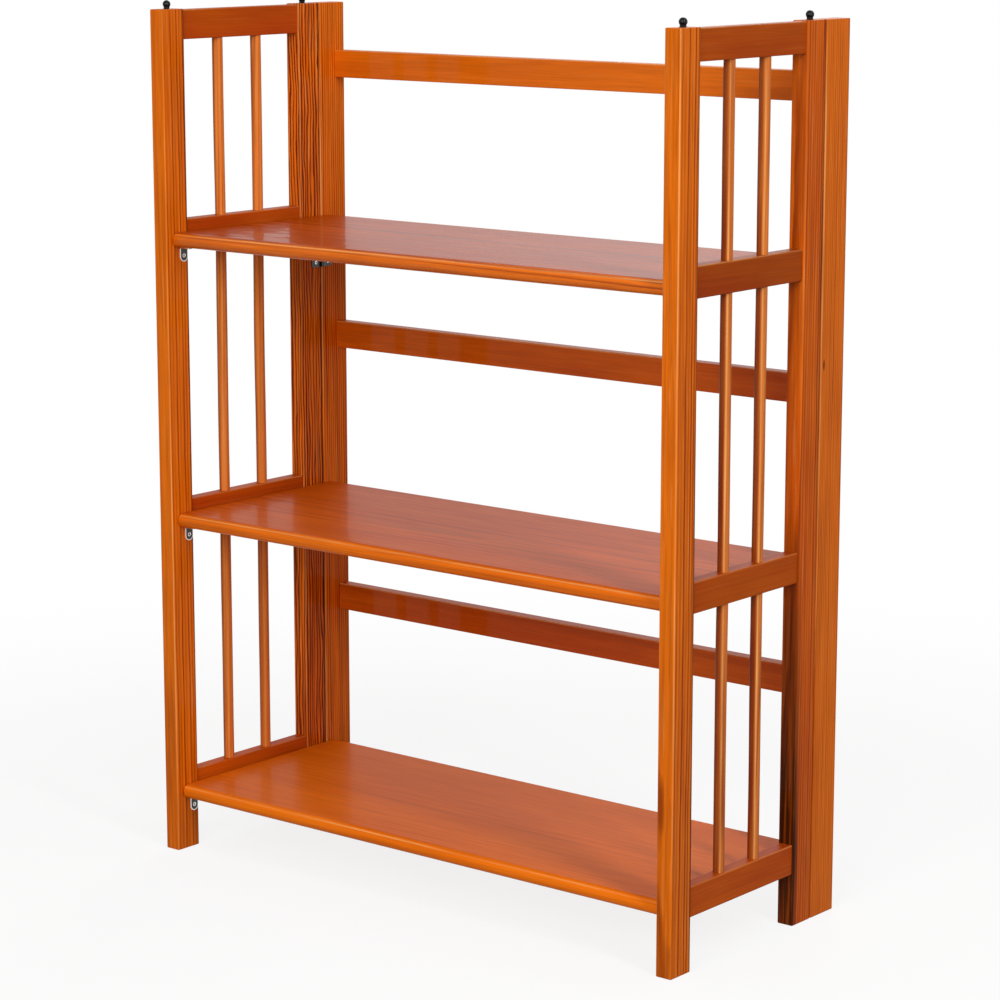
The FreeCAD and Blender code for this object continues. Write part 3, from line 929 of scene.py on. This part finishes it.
class BOOKCASE_OT_shelves(bpy.types.Operator):
    """Shelf boards with full-round front and rear edges"""

    bl_idname = "bookcase.shelves"
    bl_label = "Shelves"

    EDGE_STEPS = 20
    PALE_LINE = (3.4 * MM, 2.4 * MM)    # reach of the painted highlight line along the top of each rounded edge
    BOARDS = {
        "lower": {"shine": 0.04, "tone": 1.18, "figure": 0.16, "depth": 0.25,
                  "top_tint": (0.84, 0.80, 0.60)},
        "middle": {"shine": 0.09, "tone": 1.12, "figure": 0.50, "depth": 0.40,
                   "top_tint": (0.80, 0.68, 0.50)},
        "upper": {"shine": 0.22, "tone": 1.10, "figure": 1.0, "depth": 0.30,
                  "top_tint": (0.69, 0.50, 0.30)},
    }

    def execute(self, context):
        settings = context.scene.bookcase
        inset, run = end_rounding(settings.timber.end_round, settings.timber.arc_steps)
        for number, (level, board) in enumerate(self.BOARDS.items()):
            name = f"{level}_shelf"
            low, high = node_box(name)
            _, half_depth, half_thick = (high - low) / 2
            outlines = [stadium(half_depth, half_thick, i, self.EDGE_STEPS) for i in inset]
            places = [*(low[0] + run), *(high[0] - run[::-1])]
            rings = carried(np.stack(outlines + outlines[::-1]), places, "X", (low + high) / 2)
            # Painted highlight along the top of each rounded edge
            wooden(settings, name, rings, "X", Board(
                heart=118 - 16 * number, ripple=1.1 * MM, runout=(0, 0.006, 0.012 * (number - 1)),
                rubbed=0.8, lit=(0, 0, 1), reach=self.PALE_LINE, **board), f"shelf_{level}")
        return {"FINISHED"}


# ---- Hardware ------------------------
SCREW_STEPS = 48
SCREW_RINGS = (0.03, *np.linspace(0.1, 0.96, 13), 1.0)    # shares of the radius, across the face
SCREW_CONE = ((1.0, 0.15 * MM), (0.5, 1.1 * MM))    # share of the radius, at a depth below the rim
SCREW_DOME = 0.25 * MM              # rise of a screw's face
RECESS = 0.9 * MM                   # depth of its recess
ARM = 0.17                          # half width of the recess's arms, as a share of the radius
ARM_REACH = 0.68                    # and their length
ARM_WALL = 1.5                      # where their soft walls end, in half widths


def tube(centre, low, high, outer, inner, steps, ease=0.25 * MM):
    """A tube along Z: a rounded rectangle of the wall carried round the axis."""
    wall = rounded_rectangle((outer - inner) / 2, (high - low) / 2, ease, 3)
    radius = wall[:, 0] + (outer + inner) / 2
    height = wall[:, 1] + (low + high) / 2
    angle = once_round(steps)[:, None]
    rings = np.stack([centre[0] + radius * np.cos(angle), centre[1] + radius * np.sin(angle),
                      np.broadcast_to(height, (steps, len(height)))], -1)
    return skin(rings, ring_of_rings=True)


def screw(centre, facing, radius):
    """A countersunk screw head with a cross recess; facing (+1 or -1) is its way along X.

    The face is a shallow dome less a cross whose arms have soft walls, and the
    underside is a cone that runs in from the rim.
    """
    share = np.array(SCREW_RINGS)[:, None]
    angle = once_round(SCREW_STEPS)
    y, z = share * radius * np.cos(angle), share * radius * np.sin(angle)
    arm = ARM * radius
    near_axis = np.minimum(np.abs(y), np.abs(z))
    cut = np.clip((ARM_WALL * arm - near_axis) / arm, 0, 1)
    cut *= np.clip((ARM_REACH * radius - share * radius) / arm, 0, 1)
    rise = SCREW_DOME * (1 - share ** 2) - RECESS * cut
    face = np.stack([facing * rise, y, z], -1)
    part, depth = np.array(SCREW_CONE).T[..., None]
    cone = np.stack([-facing * depth * np.ones(SCREW_STEPS), part * radius * np.cos(angle),
                     part * radius * np.sin(angle)], -1)
    return skin(np.concatenate([face, cone]) + centre)


class BOOKCASE_OT_stacking_pins(bpy.types.Operator):
    """Ball-headed pins in the post tops, for stacking one bookcase on another"""

    bl_idname = "bookcase.stacking_pins"
    bl_label = "Stacking pins"

    NECK = 3.3 * MM
    SHANK = 3.5 * MM
    FILLET = 0.8 * MM
    BALL_RINGS = 28

    def execute(self, context):
        settings = context.scene.bookcase
        finish = shared(black_enamel, settings.metal)
        for post in ("left_front", "left_rear", "right_front", "right_rear"):
            name = f"{post}_stacking_pin"
            low, high = node_box(name)
            radius = (high[0] - low[0]) / 2
            top = node_box(f"{post}_post")[1][2]
            turn = np.linspace(math.pi - math.asin(self.NECK / radius), POLE, self.BALL_RINGS)
            radii = [self.SHANK, self.SHANK, self.SHANK, self.NECK + self.FILLET, self.NECK]
            places = [low[2], low[2] + SUPPORT, top - SUPPORT, top, top + self.FILLET]
            radii = np.concatenate([radii, radius * np.sin(turn)])
            places = np.concatenate([places, high[2] - radius + radius * np.cos(turn)])
            rings = turned(radii, places, (low + high) / 2, settings.metal.turn_steps)
            piece(f"{name}_metal", [skin(rings)], finish, "frame", [name])
        return {"FINISHED"}


class BOOKCASE_OT_brackets(bpy.types.Operator):
    """Bent steel angles under the front corners of the shelves, and their screws"""

    bl_idname = "bookcase.brackets"
    bl_label = "Shelf brackets"

    THICK = 1.5 * MM
    BEND = 1.75 * MM              # radius of the strip's middle line
    BEND_RINGS = 9
    FOOT_RINGS = 16
    EDGE = 0.315 * MM             # rounding of the strip's edges
    LEAST_HALF_WIDTH = 0.4 * MM   # at the tip of the round foot
    SCREW_DROP = 9.5 * MM         # screw's middle below the bracket's top

    def rings(self, low, high, sign):
        """A rounded strip carried down the flange, round the bend and down the leg.

        Its half width is the bracket's, and near the foot that of a circle:
        sqrt(r^2 - (r - s)^2), where s is the distance from the end.
        """
        half_width = (high[1] - low[1]) / 2
        wall = (high[0] if sign > 0 else -low[0]) - self.THICK / 2
        tip = low[0] if sign > 0 else -high[0]
        top = high[2] - self.THICK / 2
        bend = np.linspace(0, math.pi / 2, self.BEND_RINGS)
        end = half_width * (1 - np.cos(np.linspace(math.pi / 2, 0.0, self.FOOT_RINGS)))
        foot = np.ones(self.FOOT_RINGS)
        x = np.concatenate([[tip, tip + SUPPORT], wall - self.BEND + self.BEND * np.sin(bend), wall * foot])
        z = np.concatenate([[top, top], top - self.BEND + self.BEND * np.cos(bend), low[2] + end])
        tilt = np.concatenate([[0, 0], bend, math.pi / 2 * foot])
        reach = np.sqrt(np.maximum(half_width ** 2 - (half_width - end) ** 2, 0))
        width = np.concatenate([np.full(len(x) - len(end), half_width), reach])
        width = np.maximum(width, self.LEAST_HALF_WIDTH)
        outline = np.stack([rounded_rectangle(w, self.THICK / 2, self.EDGE, 3) for w in width])
        made = np.empty(outline.shape[:2] + (3,))
        made[..., 0] = sign * (x[:, None] + outline[..., 1] * np.sin(tilt)[:, None])
        made[..., 1] = outline[..., 0] + (low[1] + high[1]) / 2
        made[..., 2] = z[:, None] + outline[..., 1] * np.cos(tilt)[:, None]
        return made

    def execute(self, context):
        metal = context.scene.bookcase.metal
        bright = shared(bright_plate, metal)
        for side, sign in SIDES.items():
            for level in LEVELS:
                name = f"{side}_{level}_bracket"
                low, high = node_box(name)
                radius = (high[1] - low[1]) / 2
                dark = dark_plate(f"{name}_plate", metal, ((0.0, low[1] + radius, low[2] + radius), radius))
                piece(f"{name}_steel", [skin(self.rings(low, high, sign))], dark, "frame",
                      [name])
                face = (high[0] if sign > 0 else low[0]) - sign * self.THICK
                centre = np.array([face, (low[1] + high[1]) / 2, high[2] - self.SCREW_DROP])
                piece(f"{name}_screw", [screw(centre, -sign, metal.screw_radius)], bright, "frame")
        return {"FINISHED"}


class BOOKCASE_OT_hinges(bpy.types.Operator):
    """Butt hinges between the side frames and the back frame: leaves, pins and screws"""

    bl_idname = "bookcase.hinges"
    bl_label = "Butt hinges"

    PLACES = ("lower", "upper")
    LEAVES = {"post": (-1, 0), "stile": (1, 1)}    # way along Y from the pin, and first knuckle
    THICK = 1.2 * MM
    KNUCKLES = 3
    GAP = 0.3 * MM                 # between knuckles, and between knuckle and plate
    BARREL = 2.5 * MM              # outer radius of the knuckles
    PIN = 1.25 * MM
    PIN_DOME = 0.35 * MM
    PIN_ROOM = 0.05 * MM           # between pin and knuckle
    ROOT = 1.2                     # where a tongue starts, in pin radii from the axis
    OVERLAP = 1 * MM               # how far it runs into its plate
    CORNER = 1.6 * MM
    EASE = 0.2 * MM                # how far a plate's face is inset
    TONGUE_CORNER = 0.1 * MM
    SCREWS = (-0.36, 0.0, 0.36)    # heights of the screws, as shares of the leaf's height
    SMALLER = 0.85                 # their heads, as a share of the brackets' screws

    def strip(self, across, up, wall, sign, corner, steps, ease=0.0):
        """A flat strip on a wall: its rounded outline carried out through its thickness.

        across and up are its ends in Y and Z. With some ease, its last outline is inset by it.
        """
        (y0, y1), (z0, z1) = sorted(across), up
        levels = [(0.0, 0.0), (self.THICK - ease, 0.0)] + ([(self.THICK, ease)] if ease else [])
        outlines = [rounded_rectangle((y1 - y0) / 2 - inset, (z1 - z0) / 2 - inset,
                                      corner - 0.75 * inset, steps) for _, inset in levels]
        places = [wall - sign * depth for depth, _ in levels]
        return skin(carried(np.stack(outlines), places, "X", (0, (y0 + y1) / 2, (z0 + z1) / 2)))

    def make(self, metal, hinge, sign):
        """One hinge: two leaves of a plate and their knuckles, the screws, and the pin."""
        pin_low, pin_high = node_box(f"{hinge}_pin")
        axis, tall = (pin_low + pin_high) / 2, pin_high[2] - pin_low[2]
        knuckle = tall / self.KNUCKLES
        bright, screws = shared(bright_plate, metal), []
        for leaf, (way, first) in self.LEAVES.items():
            name = f"{hinge}_{leaf}_leaf"
            low, high = node_box(name)
            inner = axis[1] + way * (self.BARREL + self.GAP)
            outer = high[1] if way > 0 else low[1]
            wall = high[0] if sign > 0 else low[0]
            skins = [self.strip((inner, outer), (pin_low[2], pin_high[2]), wall, sign, self.CORNER, 6,
                                self.EASE)]
            root = axis[1] + way * self.PIN * self.ROOT
            for number in range(first, self.KNUCKLES, 2):
                base = pin_low[2] + number * knuckle
                span = (base + self.GAP / 2, base + knuckle - self.GAP / 2)
                skins.append(tube(axis, *span, self.BARREL, self.PIN + self.PIN_ROOM, metal.turn_steps))
                skins.append(self.strip((root, inner + way * self.OVERLAP), span, wall, sign,
                                        self.TONGUE_CORNER, 2))
            piece(f"{name}_steel", skins, shared(dark_plate, metal), "frame", [name])
            for rise in self.SCREWS:
                place = np.array([wall - sign * self.THICK, (inner + outer) / 2, axis[2] + rise * tall])
                screws.append(screw(place, -sign, metal.screw_radius * self.SMALLER))
        piece(f"{hinge}_screws", screws, bright, "frame")
        t = np.linspace(POLE, math.pi / 2, 8)
        radii = self.PIN * np.concatenate([np.sin(t), np.sin(t[::-1])])
        places = np.concatenate([pin_low[2] + self.PIN_DOME * (1 - np.cos(t)),
                                 pin_high[2] - self.PIN_DOME * (1 - np.cos(t[::-1]))])
        piece(f"{hinge}_pin_steel", [skin(turned(radii, places, axis, metal.turn_steps))], bright,
              "frame", [f"{hinge}_pin"])

    def execute(self, context):
        for side, sign in SIDES.items():
            for place in self.PLACES:
                self.make(context.scene.bookcase.metal, f"{side}_{place}_hinge", sign)
        return {"FINISHED"}


class BOOKCASE_OT_shelf_pins(bpy.types.Operator):
    """Steel pins that the shelves turn on: nodes of the frame that stay, given their finish"""

    bl_idname = "bookcase.shelf_pins"
    bl_label = "Shelf pins"

    def execute(self, context):
        dark = shared(dark_plate, context.scene.bookcase.metal)
        for level in LEVELS:
            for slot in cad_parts[f"{level}_shelf_pins"].material_slots:
                slot.material = dark
        return {"FINISHED"}


# ---- Stage ---------------------------

class BOOKCASE_OT_stage(bpy.types.Operator):
    """Plain pale floor, soft studio light and the camera"""

    bl_idname = "bookcase.stage"
    bl_label = "Stage"

    FLOOR_HALF = 30.0
    SHADOW_SHARE = 0.16         # how much of the floor's own shading shows beside the bookcase
    SHADOW_REACH = (0.55, 1.6)  # it fades out between these distances from the middle
    BOUNCE = 0.4                # share of the floor's colour that lights the bookcase from below
    LAMPS = {                   # place, the point it is aimed at, width and height
        "key": ((1.1, -3.2, 1.8), (0, 0, 0.6), (1.9, 1.9)),
        "side": ((2.2, -0.75, 1.8), (0, 0, 1.0), (0.4, 2.0)),
        "back": ((-1.6, 3.2, 2.6), (0, 0, 0.6), (1.6, 1.2)),
    }
    SENSOR = 36                 # millimetres
    CLIP = (0.05, 100)

    def floor(self, studio):
        """A flat square: its own shading near the bookcase fades into plain white."""
        half = self.FLOOR_HALF
        corners = [(-half, -half, 0), (half, -half, 0), (half, half, 0), (-half, half, 0)]
        mesh = bpy.data.meshes.new("floor")
        mesh.from_pydata(corners, [], [[0, 1, 2, 3]])
        tree = Tree(bpy.data.materials.new("floor_white"), empty=True)
        away = tree.length(tree.where())
        white_share = tree.span(away, *self.SHADOW_REACH, 1 - self.SHADOW_SHARE, 1.0, "SMOOTHSTEP")
        seen = tree.seen_plainly()
        tint = tree.blend(seen, colour(studio.floor, self.BOUNCE), colour(studio.floor))
        plain = tree.node("ShaderNodeBsdfDiffuse", {"Color": tint}).outputs[0]
        white = tree.node("ShaderNodeEmission", {"Strength": 1.0}).outputs[0]
        tree.mixed(tree.times(seen, white_share), plain, white, "ShaderNodeOutputMaterial")
        mesh.materials.append(tree.owner)
        made = placed("floor", mesh)

    def world(self, studio):
        """Even grey light from all round, which the camera and reflections see as white."""
        tree = Tree(bpy.data.worlds.new("studio"), empty=True)
        ambient, white = (
            tree.node("ShaderNodeBackground", {"Color": colour((1, 1, 1)), "Strength": strength}).outputs[0]
            for strength in (studio.ambient, 1.0))
        tree.mixed(tree.seen_plainly(), ambient, white, "ShaderNodeOutputWorld")
        bpy.context.scene.world = tree.owner

    def lamp(self, name, place, aim, size, power):
        """A rectangular soft light at a place, aimed at a point."""
        data = bpy.data.lights.new(name, "AREA")
        data.shape = "RECTANGLE"
        data.size, data.size_y = size
        data.energy = power
        x, y, z = np.subtract(aim, place)
        made = placed(name, data)
        made.location = place
        made.rotation_euler = (math.pi / 2 + math.atan2(z, math.hypot(x, y)), 0, math.atan2(-x, y))

    def camera(self, studio):
        """The camera, upright and without shift: it is only turned and dipped."""
        data = bpy.data.cameras.new("camera")
        data.sensor_width = self.SENSOR
        data.lens = studio.camera_lens
        data.clip_start, data.clip_end = self.CLIP
        made = placed("camera", data)
        made.location = studio.camera_place
        made.rotation_euler = (math.pi / 2 - studio.camera_dip, 0, studio.camera_turn)
        bpy.context.scene.camera = made

    def execute(self, context):
        studio = context.scene.bookcase.studio
        context.scene.view_settings.view_transform = "Standard"
        self.floor(studio)
        self.world(studio)
        for name, lamp in self.LAMPS.items():
            self.lamp(name, *lamp, getattr(studio, name))
        self.camera(studio)
        return {"FINISHED"}


# ---- Panel and registration ----------
OPERATORS = (
    BOOKCASE_OT_posts,
    BOOKCASE_OT_stiles,
    BOOKCASE_OT_side_rails,
    BOOKCASE_OT_back_rails,
    BOOKCASE_OT_spindles,
    BOOKCASE_OT_shelves,
    BOOKCASE_OT_stacking_pins,
    BOOKCASE_OT_brackets,
    BOOKCASE_OT_hinges,
    BOOKCASE_OT_shelf_pins,
    BOOKCASE_OT_stage,
)


class BOOKCASE_PT_panel(bpy.types.Panel):
    """Lists the bookcase's operators and settings"""

    bl_idname = "BOOKCASE_PT_panel"
    bl_label = "Folding Bookcase"
    bl_space_type = "VIEW_3D"
    bl_region_type = "UI"
    bl_category = "Bookcase"

    def draw(self, context):
        for operator in OPERATORS:
            self.layout.operator(operator.bl_idname)
        settings = context.scene.bookcase
        for group in (settings.timber, settings.wood, settings.metal, settings.studio):
            box = self.layout.box()
            for name in group.__annotations__:
                box.prop(group, name)


CLASSES = (TimberSettings, WoodSettings, MetalSettings, StudioSettings, BookcaseSettings,
           *OPERATORS, BOOKCASE_PT_panel)


def register():
    for one in CLASSES:
        bpy.utils.register_class(one)
    bpy.types.Scene.bookcase = PointerProperty(type=BookcaseSettings)


def unregister():
    del bpy.types.Scene.bookcase
    for one in reversed(CLASSES):
        bpy.utils.unregister_class(one)


def main():
    register()
    for operator in OPERATORS:
        group, name = operator.bl_idname.split(".")
        getattr(getattr(bpy.ops, group), name)()


if __name__ == "__main__":
    main()
